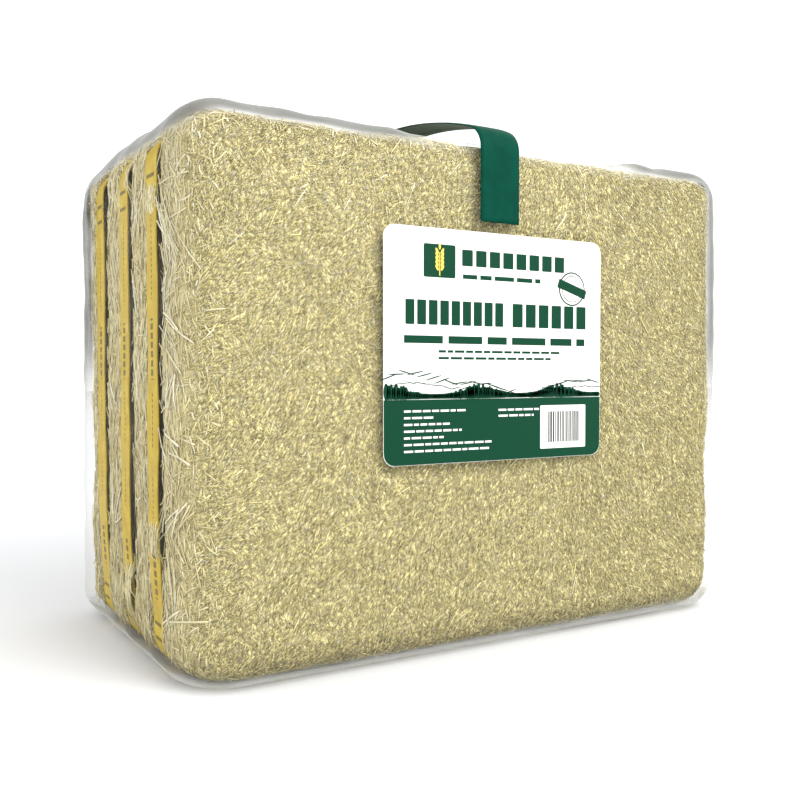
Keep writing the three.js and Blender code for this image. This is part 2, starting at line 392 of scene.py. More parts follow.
def lay(name, shape, material, spots, out, straws):
    """Lays a copy of the shape on each spot, as one piece. Straws holds arrays of what each is
    like: turn from upright, length, width, lift off the bed, tilt, sag of its ends, bow to one
    side, and tone. On the top and base, upright is along the bale. Straws that face down or lie
    low are painted darker as shade, and straws high up lighter as light."""
    points, triangles = positions(shape), np.array([[v.index for v in f.verts] for f in shape.faces])
    shape.free()
    count, corners = len(spots), len(points)
    level = np.abs(out[:, 2]) > 0.8
    up = np.where(level[:, None], [1.0, 0.0, 0.0], [0.0, 0.0, 1.0])
    up = up - out * (up * out).sum(1)[:, None]
    up /= np.linalg.norm(up, axis=1)[:, None]
    turn = straws["turn"][:, None]
    along = up * np.cos(turn) + np.cross(up, out) * np.sin(turn)
    across = np.cross(along, out)
    x, y, z = points[None, :, 0], points[None, :, 1], points[None, :, 2]
    length, width = straws["length"][:, None], straws["width"][:, None]
    curve = (2 * y) ** 2
    side = x * width + curve * straws["bow"][:, None]
    high = z * width * 0.4 + straws["lift"][:, None] + y * straws["tilt"][:, None] * length
    high = high - curve * straws["sag"][:, None]
    placed = (spots[:, None, :] + across[:, None, :] * side[..., None]
              + along[:, None, :] * (y * length)[..., None] + out[:, None, :] * high[..., None])
    placed = pressed_in(placed.reshape(-1, 3))
    placed[:, 2] = np.maximum(placed[:, 2], OFF_FLOOR)
    faces = triangles[None] + (np.arange(count) * corners)[:, None, None]
    mesh = bpy.data.meshes.new(name)
    mesh.vertices.add(count * corners)
    mesh.vertices.foreach_set("co", placed.reshape(-1))
    mesh.loops.add(faces.size)
    mesh.loops.foreach_set("vertex_index", faces.reshape(-1))
    mesh.polygons.add(faces.size // 3)
    mesh.polygons.foreach_set("loop_start", np.arange(0, faces.size, 3))
    mesh.update(calc_edges=True)
    mesh.materials.append(material)
    piece = bpy.data.objects.new(name, mesh)
    bpy.context.scene.collection.objects.link(piece)
    # Painted shade and light: tone drops on straws that face down and on straws low on the bale, and rises
    # on straws high up.
    shade = 0.35 * smoothstep(-out[:, 2], 0.05, 0.6) + 0.1 - 0.15 * smoothstep(spots[:, 2], 0, 380 * MM)
    paint(piece, "tone", np.repeat(np.clip(straws["tone"] - shade, 0, 1), corners))
    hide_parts("straw_block")
    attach(piece, "root")


def slant(spots, towards, seed):
    """The chop slants up to the right over most of a face, and up to the left near its right end."""
    right_end = smoothstep(-towards * spots[:, 0], 40 * MM, 150 * MM)
    return (0.7 - 1.4 * right_end + unevenness(spots, 130 * MM, seed) * 0.4) * -towards


def chopped_face(side, towards, per_layer, seed):
    """Two layers of short bits all over one long face, with a few longer stems among them."""
    draw = np.random.default_rng(seed)
    weight = smoothstep(outwards[:, 1] * towards, 0.3, 0.75)
    for name, count, shape, mean_length, widths, lifts in (
            ("chopped_straw_", per_layer, bit_shape(), 4.2 * MM, (0.6, 0.95), (0.0, 0.9)),
            ("loose_chop_", per_layer, bit_shape(), 4.2 * MM, (0.6, 0.95), (0.2, 1.2)),
            ("longer_chop_", 450, stem_shape(0), 14 * MM, (0.7, 1.1), (0.3, 0.8))):
        spots, out = scatter(weight, count, draw)
        lay(name + side, shape, chopped_straw, spots, out, {
            "turn": slant(spots, towards, seed + 1) + draw.normal(0, 0.3, count),
            "length": mean_length * draw.gamma(8, 1 / 8, count).clip(0.5, 1.8),
            "width": draw.uniform(*widths, count) * MM,
            "lift": draw.uniform(*lifts, count) * MM,
            "tilt": draw.normal(0, 0.07, count) * (4.2 * MM / mean_length),
            "sag": np.zeros(count), "bow": np.zeros(count),
            "tone": 0.55 + draw.normal(0, 0.27, count) + unevenness(spots, 30 * MM, seed + 2) * 0.06})


def combed_face(name, weight, count, seed):
    """Longer stem and leaf over an end, the top or the base, combed along the straps. The
    grooves, where the straps have crushed it, hold less."""
    draw = np.random.default_rng(seed)
    spots, out = scatter(weight * (0.08 + 0.92 * beside_straps(centres)), count, draw)
    crossing = draw.random(count) < 0.38
    length = 21 * MM * draw.gamma(4, 1 / 4, count).clip(0.35, 2.2)
    length *= 0.35 + 0.65 * smoothstep(np.abs(out).max(1), 0.85, 0.99)
    turn = np.where(crossing, draw.uniform(-1.5, 1.5, count),
                    unevenness(spots, 80 * MM, seed + 1) * 0.4 + draw.normal(0, 0.14, count))
    lay(name, stem_shape(2), long_straw, spots, out, {
        "turn": clear_of_straps(spots, out, turn, length), "length": length,
        "width": draw.uniform(0.8, 1.7, count) * MM,
        "lift": draw.uniform(-0.2, 1.1, count) * MM, "tilt": draw.normal(0, 0.02, count),
        "sag": length * draw.uniform(0.01, 0.05, count), "bow": length * draw.normal(0, 0.05, count),
        "tone": np.where(draw.random(count) < 0.08, 0.95, 0.44 + draw.normal(0, 0.21, count))
                + unevenness(spots, 50 * MM, seed + 2) * 0.06})


chopped_face("front", -1, 47000, 21)
chopped_face("back", 1, 17500, 26)
combed_face("combed_straw_left", smoothstep(-outwards[:, 0], 0.35, 0.8), 7500, 31)
combed_face("combed_straw_right", smoothstep(outwards[:, 0], 0.35, 0.8), 5000, 34)
combed_face("combed_straw_top", smoothstep(outwards[:, 2], 0.35, 0.8), 6000, 37)
combed_face("combed_straw_base", smoothstep(-outwards[:, 2], 0.35, 0.8), 1500, 40)

# ------------------------------------------------------------------------------------------
# Three polypropylene straps hold the pressed block. Each is an embossed yellow band pulled
# round it lengthwise and friction-welded to itself on top, and printed in black along its middle.

strap_low, strap_high = strap_boxes[0]
STRAP_THICKNESS = 0.9 * MM
STRAP_TOP_BEND = 29 * MM
STRAP_BASE_BEND = 28 * MM
STRAP_LAP = 48 * MM
STRAP_PROUD = 5.5 * MM
STRAP_PROUD_LOW = 1.5 * MM
LAP_THICKNESS = 1.0 * MM


# Embossed polypropylene strap: glossy golden yellow with a fine diamond emboss 1.6 mm apart.
# Its print is bars across it near each bend, a dotted middle line, and rows of plain blocks.
def strap_material():
    material, tree = new_material("yellow_polypropylene_strap")
    place = add(tree, "ShaderNodeTexCoord").outputs["Object"]
    height = add(tree, "ShaderNodeSeparateXYZ", None, {0: place}).outputs[2]
    across = add(tree, "ShaderNodeAttribute", {"attribute_name": "across"}).outputs["Fac"]

    def calc(operation, a, b=0.0, c=0.0):
        return add(tree, "ShaderNodeMath", {"operation": operation}, {0: a, 1: b, 2: c}).outputs[0]

    def within(value, middle, reach):
        return calc("COMPARE", value, middle, reach)

    def either(marks):
        total = marks[0]
        for mark in marks[1:]:
            total = calc("MAXIMUM", total, mark)
        return total

    bars = calc("MULTIPLY", either([within(height, z * MM, 1.5 * MM) for z in (391, 377, 39, 27)]),
                within(across, 1 * MM, 9 * MM))
    dots = calc("LESS_THAN", calc("PINGPONG", height, 2.2 * MM), 1.3 * MM)
    lines = calc("MULTIPLY", either([within(height, 329 * MM, 34 * MM), within(height, 200 * MM, 22 * MM),
                                     within(height, 140 * MM, 17 * MM)]),
                 within(across, 0.0, 1.1 * MM))
    dotted = calc("MULTIPLY", dots, lines)
    steps = calc("LESS_THAN", calc("PINGPONG", height, 3.6 * MM), 2.5 * MM)
    rows = calc("MULTIPLY", either([within(height, 256 * MM, 24 * MM), within(height, 77 * MM, 18 * MM)]),
                within(across, 0.0, 3.4 * MM))
    blocks = calc("MULTIPLY", steps, rows)
    print_ = either([bars, dotted, blocks])
    wear = add(tree, "ShaderNodeTexNoise", None, {"Vector": place, "Scale": 1 / (14 * MM), "Detail": 4.0})
    yellow = add(tree, "ShaderNodeValToRGB", {"stops": [
        (0.35, "#B99C24"), (0.6, "#C5A92B"), (0.75, "#D2B83C")]}, {"Fac": wear.outputs["Fac"]})
    ink = calc("MULTIPLY", print_, 0.75)
    colour = add(tree, "ShaderNodeMix", {"data_type": "RGBA"},
                 {0: ink, 6: yellow.outputs["Color"], 7: linear("#2B2A17")})
    emboss = calc("MULTIPLY", calc("SINE", calc("MULTIPLY", height, 2 * math.pi / (1.6 * MM))),
                  calc("SINE", calc("MULTIPLY", across, 2 * math.pi / (1.6 * MM))))
    bump = add(tree, "ShaderNodeBump", None, {"Strength": 0.35, "Distance": 0.15 * MM, "Height": emboss})
    coat(tree, {"Base Color": colour.outputs[2], "Roughness": 0.42, "IOR": 1.49,
                "Specular IOR Level": 0.1, "Normal": bump.outputs["Normal"]})
    return material


strap_yellow = strap_material()
for strap_name, strap_y, strap_seed in zip(STRAP_NAMES, STRAP_Y, (51, 52, 53)):
    half_x, half_width = (strap_high.x - strap_low.x) / 2, (strap_high.y - strap_low.y) / 2
    height = strap_high.z - LAP_THICKNESS - strap_low.z
    strap = bmesh.new()
    bmesh.ops.create_cube(strap, size=1)
    bmesh.ops.scale(strap, vec=(half_x * 2, half_width * 2, height), verts=strap.verts[:])
    open_ends = [f for f in strap.faces if abs(f.normal.y) > 0.5]
    bmesh.ops.delete(strap, geom=open_ends, context="FACES_ONLY")
    for over_top, bend in ((True, STRAP_TOP_BEND), (False, STRAP_BASE_BEND)):
        corners = [e for e in strap.edges if abs(e.verts[0].co.y - e.verts[1].co.y) > half_width
                   and (e.verts[0].co.z > 0) == over_top]
        bmesh.ops.bevel(strap, geom=corners, affect="EDGES", offset=bend, segments=10,
                        profile=0.5, material=-1)
    runs = [e for e in strap.edges if abs(e.verts[0].co.y - e.verts[1].co.y) < half_width
            and e.calc_length() > 100 * MM]
    bmesh.ops.subdivide_edges(strap, edges=runs, cuts=29, use_grid_fill=True)
    bmesh.ops.recalc_face_normals(strap, faces=strap.faces[:])
    band = positions(strap) + (0, strap_y, strap_low.z + height / 2)
    side = np.sign(positions(strap)[:, 1])
    upright = smoothstep(np.abs(band[:, 0]), half_x - 3 * MM, half_x - 1 * MM)
    sway = unevenness(np.stack([band[:, 0] * 0.3, 0 * side, band[:, 2]], 1), 110 * MM, strap_seed)
    band[:, 1] += sway * 1.0 * MM
    curl = unevenness(band * (1, 0, 1), 60 * MM, strap_seed + 5) * upright
    proud = STRAP_PROUD_LOW + (STRAP_PROUD - STRAP_PROUD_LOW) * smoothstep(band[:, 2], 20 * MM, 120 * MM)
    proud *= smoothstep(np.abs(band[:, 0]), half_x - 30 * MM, half_x)
    band[:, 0] += np.sign(band[:, 0]) * (curl * side * 0.5 * MM + proud)
    move(strap, band)
    strap.faces.ensure_lookup_table()
    bmesh.ops.solidify(strap, geom=strap.faces[:], thickness=STRAP_THICKNESS)
    lap = bmesh.ops.create_cube(strap, size=1)["verts"]
    bmesh.ops.scale(strap, vec=(STRAP_LAP, half_width * 2, LAP_THICKNESS), verts=lap)
    bmesh.ops.translate(strap, vec=(0, strap_y, strap_high.z - LAP_THICKNESS / 2), verts=lap)
    across_band = positions(strap)[:, 1] - strap_y
    band_piece = finished(strap, "band_" + strap_name, [strap_yellow], "strap", strap_name, smooth=False)
    paint(band_piece, "across", across_band)

# ------------------------------------------------------------------------------------------
# Stems that stand away from the block. Pale stems fan out at the left and right ends beside
# the straps, and at the left end some lie over a strap where the straw has swelled round it.


BRIDGE_SAG = 5.5 * MM


def tuft(name, side, clumps, seed):
    """Clumps of pale stems on one end. Each clump is its y, z, turn, how far it spreads in
    millimetres, how many stems, their length in millimetres and how far they bridge a strap."""
    draw = np.random.default_rng(seed)
    end = np.flatnonzero(outwards[:, 0] * side > 0.15)
    spots, out, rows = [], [], []
    for y, z, turn, spread, count, length, bridge in clumps:
        at = np.array([y, z]) * MM + draw.normal(0, spread * MM, (count, 2)) * (1.0, 0.6)
        nearest = end[((centres[end][:, None, 1:] - at[None]) ** 2).sum(2).argmin(0)]
        spots.append(centres[nearest])
        out.append(np.tile((side, 0.0, 0.0), (count, 1)) if bridge else outwards[nearest])
        if bridge:
            spots[-1][:, 0] = side * (strap_high.x + STRAP_PROUD)
        rows.append(np.tile((turn, length, bridge), (count, 1)))
    spots, out, rows = np.concatenate(spots), np.concatenate(out), np.concatenate(rows)
    count = len(spots)
    length = rows[:, 1] * MM * draw.uniform(0.6, 1.25, count)
    turn = rows[:, 0] + draw.normal(0, 0.3, count) * np.where(rows[:, 2] > 0, 0.45, 1)
    clear_turn = clear_of_straps(spots, out, turn, length)
    lay(name, stem_shape(2), pale_stem if seed % 2 else long_straw, spots, out, {
        "turn": np.where(rows[:, 2] > 0, turn, clear_turn),
        "length": length, "width": draw.uniform(1.0, 2.1, count) * MM,
        "lift": draw.uniform(0.8, 2.2, count) * MM * np.where(rows[:, 2] > 0, 0.7, 1),
        "tilt": draw.normal(0, 0.02, count),
        "sag": np.where(rows[:, 2] > 0, BRIDGE_SAG, length * 0.02),
        "bow": length * draw.normal(0, 0.05, count),
        "tone": draw.uniform(0.1, 1.0, count)})


FRONT_STRAP, MIDDLE_STRAP = (y / MM for y in STRAP_Y[:2])
tuft("pale_stems_left", -1, (
    (FRONT_STRAP - 33, 348, -0.65, 7, 20, 50, 0), (FRONT_STRAP - 38, 335, -0.3, 12, 10, 38, 0),
    (FRONT_STRAP - 30, 300, 0.9, 12, 9, 34, 0), (FRONT_STRAP - 44, 268, -0.9, 14, 9, 30, 0),
    (FRONT_STRAP - 34, 225, 0.5, 14, 10, 34, 0), (FRONT_STRAP - 30, 176, -0.7, 12, 10, 36, 0),
    (FRONT_STRAP - 40, 130, 0.9, 12, 9, 32, 0), (FRONT_STRAP - 30, 84, -0.4, 14, 10, 34, 0),
    (FRONT_STRAP - 36, 52, 1.3, 12, 6, 30, 0), (-41, 372, 0.2, 10, 7, 34, 0),
    (-41, 300, -0.3, 12, 7, 38, 0), (-41, 236, 0.4, 12, 8, 34, 0), (-41, 150, -0.5, 12, 9, 36, 0),
    (-41, 80, 0.5, 12, 8, 34, 0), (41, 330, 0.2, 12, 7, 36, 0), (41, 210, -0.4, 12, 8, 34, 0),
    (41, 120, 0.6, 12, 8, 32, 0), (120, 330, 0.2, 14, 7, 36, 0), (120, 200, -0.4, 14, 7, 34, 0),
    (120, 90, 0.3, 14, 7, 34, 0)), 61)
tuft("swelled_straw_left", -1, (
    (FRONT_STRAP + 1, 373, -0.1, 6, 70, 34, 1), (FRONT_STRAP, 106, 0.05, 6, 75, 36, 1),
    (MIDDLE_STRAP - 5, 52, 0.05, 4, 60, 46, 1), (MIDDLE_STRAP - 12, 400, 0.0, 2, 12, 30, 1)), 62)
tuft("pale_stems_right", 1, (
    (-120, 350, 0.5, 14, 9, 40, 0), (-118, 250, -0.4, 14, 9, 36, 0), (-120, 120, 0.5, 14, 9, 36, 0),
    (-41, 310, -0.3, 12, 8, 38, 0), (-41, 160, 0.4, 12, 9, 36, 0), (41, 360, 0.2, 12, 7, 36, 0),
    (41, 190, -0.4, 12, 8, 34, 0), (120, 280, 0.3, 14, 8, 36, 0), (120, 110, -0.3, 14, 8, 34, 0)), 63)

# ------------------------------------------------------------------------------------------
# The film bag. Clear polyethylene film is drawn over the strapped block, just clear of its
# straw. It is drawn down where the carry strap pulls on it, and folded double along its top and
# upper corners. A bead of melted film in the back marks a punched air hole, which the film is not cut for.

FILM_CUTS = 84
FILM_TOP_SLACK = 0.5 * MM
FILM_TOP_EDGE = 36 * MM
FILM_BASE_EDGE = 28 * MM
FILM_LEFT_UPRIGHT = 52 * MM
FILM_RIGHT_UPRIGHT = 48 * MM
FILM_GAP = 0.8 * MM
FILM_DRAWN_DOWN = 6.5 * MM
WELL_OUTSIDE = 30 * MM
film_low, film_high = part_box("film_bag")
film_high.z -= FILM_TOP_SLACK


# Clear polyethylene film: next to nothing face on, brighter edge on, and hazier where doubled.
# Its grey on the top folds and upper corners is painted shade.
def film_material():
    material, tree = new_material("clear_polyethylene_film")
    place = add(tree, "ShaderNodeTexCoord").outputs["Object"]
    doubled = add(tree, "ShaderNodeAttribute", {"attribute_name": "doubled"}).outputs["Fac"]
    edge_on = add(tree, "ShaderNodeLayerWeight", None, {"Blend": 0.5}).outputs["Facing"]
    steep = add(tree, "ShaderNodeMath", {"operation": "POWER"}, {0: edge_on, 1: 14.0})
    veil = add(tree, "ShaderNodeMath", {"operation": "MULTIPLY_ADD"},
               {0: steep.outputs[0], 1: 0.75, 2: 0.02})
    fold = add(tree, "ShaderNodeMapRange", {"interpolation_type": "SMOOTHSTEP"},
               {"Value": edge_on, "From Min": 0.3, "From Max": 0.76, "To Min": 0.05, "To Max": 0.92})
    cloud = add(tree, "ShaderNodeTexNoise", None, {"Vector": place, "Scale": 1 / (45 * MM), "Detail": 3.0})
    patchy = add(tree, "ShaderNodeMapRange", None,
                 {"Value": cloud.outputs["Fac"], "From Min": 0.3, "From Max": 0.7,
                  "To Min": 0.85, "To Max": 1.1})
    seam = add(tree, "ShaderNodeAttribute", {"attribute_name": "seam"}).outputs["Fac"]
    seamed = add(tree, "ShaderNodeMapRange", {"interpolation_type": "SMOOTHSTEP"},
                 {"Value": edge_on, "From Min": 0.2, "From Max": 0.55, "To Min": 0.03, "To Max": 0.9})
    at_seam = add(tree, "ShaderNodeMath", {"operation": "MULTIPLY"}, {0: seam, 1: seamed.outputs[0]})
    haze = add(tree, "ShaderNodeMath", {"operation": "MULTIPLY_ADD"},
               {0: doubled, 1: fold.outputs[0], 2: at_seam.outputs[0]})
    folded = add(tree, "ShaderNodeMath", {"operation": "MULTIPLY"},
                 {0: haze.outputs[0], 1: patchy.outputs[0]})
    alpha = add(tree, "ShaderNodeMath", {"operation": "ADD", "use_clamp": True},
                {0: folded.outputs[0], 1: veil.outputs[0]})
    # Painted shade: the film is mixed to grey where it is shaded, on its top folds and upper corners.
    shaded = add(tree, "ShaderNodeAttribute", {"attribute_name": "shaded"}).outputs["Fac"]
    colour = add(tree, "ShaderNodeMix", {"data_type": "RGBA"},
                 {0: shaded, 6: linear("#D2D3CE"), 7: linear("#70706C")})
    crease = add(tree, "ShaderNodeTexNoise", None,
                 {"Vector": place, "Scale": 1 / (20 * MM), "Detail": 2.0, "Distortion": 1.2})
    bump = add(tree, "ShaderNodeBump", None,
               {"Strength": 0.5, "Distance": 1.5 * MM, "Height": crease.outputs["Fac"]})
    coat(tree, {"Base Color": colour.outputs[2], "Roughness": 0.3, "IOR": 1.5,
                "Specular IOR Level": 0.12, "Alpha": alpha.outputs[0], "Normal": bump.outputs["Normal"]})
    return material


film_half = np.array(film_high - film_low) / 2
film_middle = np.array(film_high + film_low) / 2
film = box_mesh(FILM_CUTS)
film_flat = positions(film) * film_half * 2
film_top_edge = FILM_TOP_EDGE - 8 * MM * smoothstep(film_flat[:, 0], 120 * MM, 250 * MM)
film_upright = np.where(film_flat[:, :1] > 0, FILM_RIGHT_UPRIGHT, FILM_LEFT_UPRIGHT)
film_shape = rounded(film_flat, film_half, film_top_edge, FILM_BASE_EDGE, film_upright)
move(film, film_shape)
film_out = normals(film)
flat_side = smoothstep(np.abs(film_out[:, 1]), 0.9, 0.99)
on_floor = smoothstep(-film_out[:, 2], 0.3, 0.8)
billow = unevenness(film_shape, 95 * MM, 71) * 2.0 * MM + unevenness(film_shape, 33 * MM, 72) * 0.7 * MM
billow = billow * (1 - 0.85 * flat_side) * (1 - on_floor) - 1.0 * MM * flat_side
pulled = smoothstep(film_shape[:, 0], -105 * MM, -60 * MM)
pulled *= 1 - smoothstep(film_shape[:, 0], 135 * MM, 175 * MM)
drawn = pulled * smoothstep(film_shape[:, 2] + film_middle[2], 395 * MM, 435 * MM)
film_placed = film_shape + film_out * (billow * (1 - 0.8 * drawn))[:, None] + film_middle
film_placed[:, 2] -= FILM_DRAWN_DOWN * drawn
# Above the floor, the film is pushed out to FILM_GAP from the outline the straw is pressed to.
held = pressed_in(film_placed + film_out * WELL_OUTSIDE)
gap = ((film_placed - held) * film_out).sum(1)
film_placed += film_out * np.maximum(FILM_GAP - gap, 0)[:, None] * (1 - on_floor)[:, None]
film_placed[:, 2] = np.maximum(film_placed[:, 2], 0.1 * MM)
move(film, film_placed)
inset = film_half - np.abs(film_shape)
from_walls = inset[:, :2].min(1)
into_corner = inset[:, :2].max(1)
at_front, at_left = film_shape[:, 1] < 0, film_shape[:, 0] < 0
corner_fold = np.where(at_front, 1 - smoothstep(into_corner, 28 * MM, 42 * MM),
                       1 - smoothstep(into_corner, 54 * MM, 70 * MM)) * (1 - 0.8 * at_front * at_left)
upwards = film_out[:, 2] + 0.3 * np.abs(film_out[:, 0])
top_fold = smoothstep(upwards, 0.4, 0.7) * (1 - smoothstep(from_walls, 28 * MM, 62 * MM))
top_fold *= smoothstep(film_out[:, 2], 0.05, 0.3) * (1 - 0.85 * pulled)
# upper fades the corner folds, their haze and their painted grey shade, out towards the base.
upper = 0.15 + 0.85 * smoothstep(film_placed[:, 2], 180 * MM, 290 * MM)
base_fold = smoothstep(-film_out[:, 2], 0.3, 0.7) * (1 - smoothstep(from_walls, 40 * MM, 70 * MM)) * 0.7
film_piece = finished(film, "clear_film", [film_material()], "film", "film_bag")
front_bend = smoothstep(-film_out[:, 1], 0.1, 0.4)
seam = np.maximum(corner_fold * upper * (1 - top_fold), top_fold * front_bend)
paint(film_piece, "seam", seam)
# shaded: where the film is painted grey, as shade.
paint(film_piece, "shaded", np.maximum(top_fold, seam))
paint(film_piece, "doubled", np.maximum(top_fold * (1 - front_bend), base_fold))

# The bead of melted film round the air hole: the same polyethylene, thick enough to look white.
bead_material, bead_tree = new_material("melted_polyethylene_bead")
bead_place = add(bead_tree, "ShaderNodeTexCoord").outputs["Object"]
bead_cloud = add(bead_tree, "ShaderNodeTexNoise", None, {"Vector": bead_place, "Scale": 1 / (1.5 * MM)})
bead_white = add(bead_tree, "ShaderNodeValToRGB", {"stops": [
    (0.35, "#C6C8C4"), (0.7, "#E0E1DE")]}, {"Fac": bead_cloud.outputs["Fac"]})
coat(bead_tree, {"Base Color": bead_white.outputs["Color"], "Roughness": 0.35, "IOR": 1.5})
HOLE_RADIUS = 3 * MM
BEAD = 0.45 * MM
HOLE_X = 51.7 * MM
HOLE_Z = 353 * MM
bead = bmesh.new()
section = bmesh.ops.create_circle(bead, segments=8, radius=BEAD)["verts"]
bmesh.ops.rotate(bead, verts=section, cent=(0, 0, 0), matrix=Matrix.Rotation(math.pi / 2, 3, "X"))
bmesh.ops.translate(bead, verts=section, vec=(HOLE_RADIUS + BEAD, 0, 0))
bmesh.ops.spin(bead, geom=bead.verts[:] + bead.edges[:], cent=(0, 0, 0), axis=(0, 0, 1),
               angle=2 * math.pi, steps=24, use_merge=True)
bmesh.ops.rotate(bead, verts=bead.verts[:], cent=(0, 0, 0), matrix=Matrix.Rotation(math.pi / 2, 3, "X"))
bmesh.ops.translate(bead, verts=bead.verts[:], vec=(HOLE_X, film_high.y - 1.0 * MM, HOLE_Z))
bmesh.ops.recalc_face_normals(bead, faces=bead.faces[:])
finished(bead, "air_hole_bead", [bead_material], "film", "film_bag")

# ------------------------------------------------------------------------------------------
# The carry strap: a flat green polyethylene band over the top, across the bale. Its tails lie
# down the front and back of the bag and are heat-sealed to the film.

handle_low, handle_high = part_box("carry_handle")
HANDLE_THICKNESS = 0.8 * MM
HANDLE_SWEEP = 480 * MM
HANDLE_BEND = 24 * MM
HANDLE_STEPS = 120


# Green polyethylene band: satin, with ribs 2 mm apart along it.
def handle_material():
    material, tree = new_material("green_polyethylene_band")
    place = add(tree, "ShaderNodeTexCoord").outputs["Object"]
    ribs = add(tree, "ShaderNodeTexWave", {"bands_direction": "X"},
               {"Vector": place, "Scale": 0.314 / (2 * MM), "Distortion": 0.3, "Detail": 1.0})
    scuff = add(tree, "ShaderNodeTexNoise", None, {"Vector": place, "Scale": 1 / (12 * MM), "Detail": 3.0})
    colour = add(tree, "ShaderNodeValToRGB", {"stops": [
        (0.35, "#063B2E"), (0.65, "#084234")]}, {"Fac": scuff.outputs["Fac"]})
    bump = add(tree, "ShaderNodeBump", None,
               {"Strength": 0.12, "Distance": 0.2 * MM, "Height": ribs.outputs["Fac"]})
    coat(tree, {"Base Color": colour.outputs["Color"], "Roughness": 0.4, "IOR": 1.5,
                "Specular IOR Level": 0.02, "Normal": bump.outputs["Normal"]})
    return material


def handle_band():
    """A flat strip laid along the band's path: up one face, over the sweep and down the other."""
    reach = -handle_low.y
    sweep_z = handle_high.z - HANDLE_SWEEP
    bend_y = reach - HANDLE_BEND
    bend_z = sweep_z + math.sqrt((HANDLE_SWEEP - HANDLE_BEND) ** 2 - bend_y ** 2)
    lean = math.asin(bend_y / (HANDLE_SWEEP - HANDLE_BEND))
    straight = bend_z - handle_low.z
    bend_length = HANDLE_BEND * (math.pi / 2 - lean)
    half_length = straight + bend_length + HANDLE_SWEEP * lean
    band = bmesh.new()
    bmesh.ops.create_grid(band, x_segments=8, y_segments=HANDLE_STEPS, size=0.5)
    flat = positions(band)
    width = handle_high.x - handle_low.x
    along = np.abs(flat[:, 1]) * 2 * half_length
    from_tip = half_length - along
    past_bend = np.maximum(from_tip - straight, 0)
    turn = np.minimum(past_bend, bend_length) / HANDLE_BEND
    swept = np.maximum(past_bend - bend_length, 0) / HANDLE_SWEEP
    out = np.where(swept > 0, HANDLE_SWEEP * np.sin(lean - swept), bend_y + HANDLE_BEND * np.cos(turn))
    up = np.where(swept > 0, sweep_z + HANDLE_SWEEP * np.cos(lean - swept),
                  bend_z + HANDLE_BEND * np.sin(turn))
    up = np.where(past_bend > 0, up, handle_low.z + from_tip)
    curl = (2 * flat[:, 0]) ** 4 * smoothstep(past_bend, 0, 20 * MM) * 1.2 * MM
    shape = np.stack([flat[:, 0] * width + (handle_low.x + handle_high.x) / 2,
                      np.sign(flat[:, 1]) * out, up - curl], 1)
    move(band, shape)
    bmesh.ops.recalc_face_normals(band, faces=band.faces[:])
    if sum(f.normal.z * f.calc_area() for f in band.faces) < 0:
        bmesh.ops.reverse_faces(band, faces=band.faces[:])
    tips = [v for v in band.verts if v.is_boundary and len(v.link_edges) == 2]
    bmesh.ops.bevel(band, geom=tips, affect="VERTICES", offset=1 * MM, segments=3,
                    profile=0.5, material=-1)
    bmesh.ops.solidify(band, geom=band.faces[:], thickness=HANDLE_THICKNESS)
    return finished(band, "carry_band", [handle_material()], "handle", "carry_handle")


handle_band()

# ------------------------------------------------------------------------------------------
# The label: a white vinyl sheet stuck to the front of the bag, printed in one green ink. The
# print is plain: an ear of wheat on a square, blocks and rules where words would be, a row of
# hills and trees, and a white panel of bars.

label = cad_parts["label"]
label_low, label_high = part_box("label")
LABEL_CORNER = 10 * MM
INK_THICKNESS = 0.08 * MM


# White coated vinyl: smooth, with a satin sheen, and inks that lie flat and dull on it.
def print_material(name, colour, roughness):
    material, tree = new_material(name)
    place = add(tree, "ShaderNodeTexCoord").outputs["Object"]
    grain = add(tree, "ShaderNodeTexNoise", None, {"Vector": place, "Scale": 1 / (30 * MM), "Detail": 2.0})
    bump = add(tree, "ShaderNodeBump", None,
               {"Strength": 0.15, "Distance": 0.5 * MM, "Height": grain.outputs["Fac"]})
    coat(tree, {"Base Color": linear(colour), "Roughness": roughness, "Specular IOR Level": 0.12,
                "Normal": bump.outputs["Normal"]})
    return material


label.data.materials.clear()
label.data.materials.append(print_material("white_coated_vinyl", "#E6E5E0", 0.35))
GREEN, STRAW, WHITE, BLACK = range(4)
inks = [print_material("green_label_ink", "#003A25", 0.45),
        print_material("straw_label_ink", "#E5C65A", 0.5),
        print_material("white_label_ink", "#E6E5E0", 0.45),
        print_material("black_label_ink", "#1C211F", 0.5)]
ink = bmesh.new()


def printed(x, z, width, height, colour, layer=1, corner=0.0, turn=0.0, foot=False):
    """A printed block, its middle at x and z from the label's lower left corner, in millimetres.
    A foot has only its lower corners rounded."""
    made = bmesh.ops.create_cube(ink, size=1)["verts"]
    bmesh.ops.scale(ink, vec=(width * MM, INK_THICKNESS, height * MM), verts=made)
    faces = list({f for v in made for f in v.link_faces})
    for face in faces:
        face.material_index = colour
    if corner:
        uprights = [e for e in {e for v in made for e in v.link_edges}
                    if abs(e.verts[0].co.y - e.verts[1].co.y) > INK_THICKNESS / 2
                    and not (foot and e.verts[0].co.z > 0)]
        made = bmesh.ops.bevel(ink, geom=uprights, affect="EDGES", offset=corner * MM,
                               segments=5, profile=0.5, material=-1)["verts"]
        made = list({v for start in made for f in start.link_faces for v in f.verts})
    bmesh.ops.rotate(ink, verts=made, cent=(0, 0, 0), matrix=Matrix.Rotation(turn, 3, "Y"))
    bmesh.ops.translate(ink, verts=made, vec=(
        label_low.x + x * MM, label_low.y - layer * INK_THICKNESS * 0.8, label_low.z + z * MM))


def words(x, z, width, height, colour, layer, seed):
    """A line of plain rules, the lengths of words, that starts at x."""
    draw = np.random.default_rng(seed)
    at = 0.0
    while at < width - height:
        run = min(height * draw.uniform(2.5, 6.0), width - at)
        printed(x + at + run / 2, z, run, height, colour, layer)
        at += run + height * 0.9


def blocks_row(x, z, width, height, count):
    """A row of plain upright blocks that starts at x, where a title would be."""
    step = width / count
    for index in range(count):
        printed(x + (index + 0.5) * step, z, step * 0.76, height, GREEN, corner=0.8)


